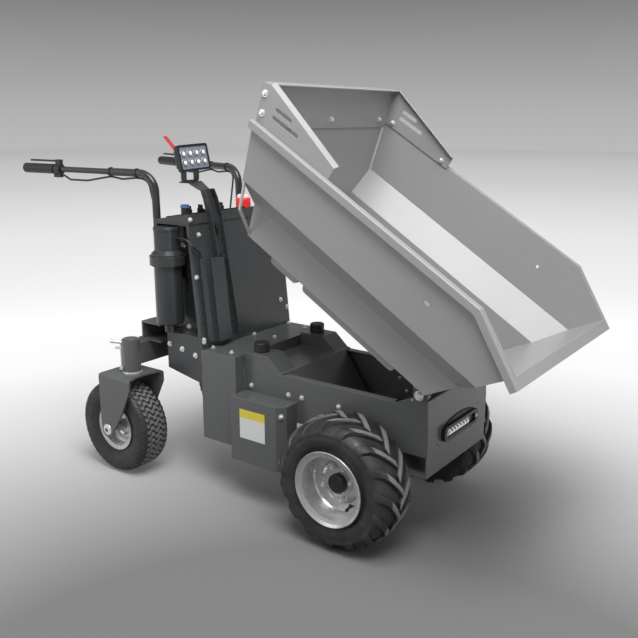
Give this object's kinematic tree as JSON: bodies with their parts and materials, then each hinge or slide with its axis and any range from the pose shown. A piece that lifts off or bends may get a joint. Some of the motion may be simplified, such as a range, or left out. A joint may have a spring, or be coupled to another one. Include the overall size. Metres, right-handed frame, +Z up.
{
  "type": "site dumper",
  "caption": "Walk-behind site dumper with a raised tipping bed, lugged front wheels, swivelling rear casters, control tower, handlebars and work lamp.",
  "frame": {"origin": "middle of the overall length and width, on the ground under the wheels", "axes": "+X forward towards the tipping end, +Y to the left, +Z up"},
  "size_m": [1.8905, 0.752, 1.3147],
  "materials": {
    "chassis_paint": "satin",
    "cabinet_paint": "satin",
    "bed_paint": "satin",
    "rim_paint": "satin",
    "steel": "brushed",
    "chrome_rod": "polished",
    "black_paint": "gloss",
    "tyre_rubber": "matt",
    "rubber": "matt",
    "black_plastic": "matt",
    "red_plastic": "gloss",
    "cast_case": "cast"
  },
  "bodies": {
    "machine": {"battery_box": "chassis_paint", "beacon": "red_plastic", "beam_bracket": "cabinet_paint", "bed_buffer_left": "rubber", "bed_buffer_right": "rubber", "cable_cover": "cabinet_paint", "caster_beam": "cabinet_paint", "chassis_frame": "chassis_paint", "chassis_top": "chassis_paint", "control_box": "chassis_paint", "control_panel": "black_plastic", "front_lamp": "black_plastic", "grip_left": "rubber", "grip_right": "rubber", "handlebar_left": "black_paint", "handlebar_right": "black_paint", "hinge_shaft": "steel", "lamp_post": "cabinet_paint", "lever_cable_left": "rubber", "lever_cable_right": "rubber", "lever_clamp_left": "black_plastic", "lever_clamp_right": "black_plastic", "pump_cable": "rubber", "pump_clamp": "black_paint", "pump_motor": "cast_case", "pump_tank": "black_paint", "rear_deck": "chassis_paint", "tower_cabinet": "cabinet_paint", "tower_lid": "cabinet_paint", "transaxle": "cast_case", "work_lamp": "black_plastic"},
    "bed": {"bed_tub": "bed_paint", "bed_underframe": "bed_paint", "spill_board": "bed_paint"},
    "cylinder_barrel": {"cylinder_barrel": "black_paint"},
    "cylinder_rod": {"cylinder_rod": "chrome_rod"},
    "front_wheel_left": {"front_rim_left": "rim_paint", "front_tyre_left": "tyre_rubber"},
    "front_wheel_right": {"front_rim_right": "rim_paint", "front_tyre_right": "tyre_rubber"},
    "caster_left": {"caster_fork_left": "cabinet_paint"},
    "caster_right": {"caster_fork_right": "cabinet_paint"},
    "caster_wheel_left": {"caster_rim_left": "rim_paint", "caster_tyre_left": "tyre_rubber"},
    "caster_wheel_right": {"caster_rim_right": "rim_paint", "caster_tyre_right": "tyre_rubber"}
  },
  "joints": [
    {"name": "tip", "type": "hinge", "parent": "machine", "child": "bed", "pos_m": [0.6027, 0, 0.4777], "axis": [0, 1, 0], "range_deg": [-31.7, 18.3]},
    {"name": "cylinder_swing", "type": "hinge", "parent": "machine", "child": "cylinder_barrel", "pos_m": [0.4753, 0, 0.262], "axis": [0, -1, 0], "range_deg": [-1.7, 2.9]},
    {"name": "cylinder_stroke", "type": "slide", "parent": "cylinder_barrel", "child": "cylinder_rod", "axis": [0.2336, 0, 0.9723], "range_m": [-0.0415, 0.024]},
    {"name": "front_wheel_left_spin", "type": "hinge", "parent": "machine", "child": "front_wheel_left", "pos_m": [0.4053, 0.283, 0.2], "axis": [0, 1, 0], "continuous": true},
    {"name": "front_wheel_right_spin", "type": "hinge", "parent": "machine", "child": "front_wheel_right", "pos_m": [0.4053, -0.283, 0.2], "axis": [0, 1, 0], "continuous": true},
    {"name": "caster_left_swivel", "type": "hinge", "parent": "machine", "child": "caster_left", "pos_m": [-0.4727, 0.29, 0.42], "axis": [0, 0, 1], "continuous": true},
    {"name": "caster_wheel_left_spin", "type": "hinge", "parent": "caster_left", "child": "caster_wheel_left", "pos_m": [-0.5267, 0.29, 0.165], "axis": [0, 1, 0], "continuous": true},
    {"name": "caster_right_swivel", "type": "hinge", "parent": "machine", "child": "caster_right", "pos_m": [-0.4727, -0.29, 0.42], "axis": [0, 0, 1], "continuous": true},
    {"name": "caster_wheel_right_spin", "type": "hinge", "parent": "caster_right", "child": "caster_wheel_right", "pos_m": [-0.5267, -0.29, 0.165], "axis": [0, 1, 0], "continuous": true}
  ],
  "couplings": [
    {"joint": "cylinder_swing", "follows": "tip", "ratio": -0.09},
    {"joint": "cylinder_stroke", "follows": "tip", "m_per_rad": 0.07445}
  ]
}
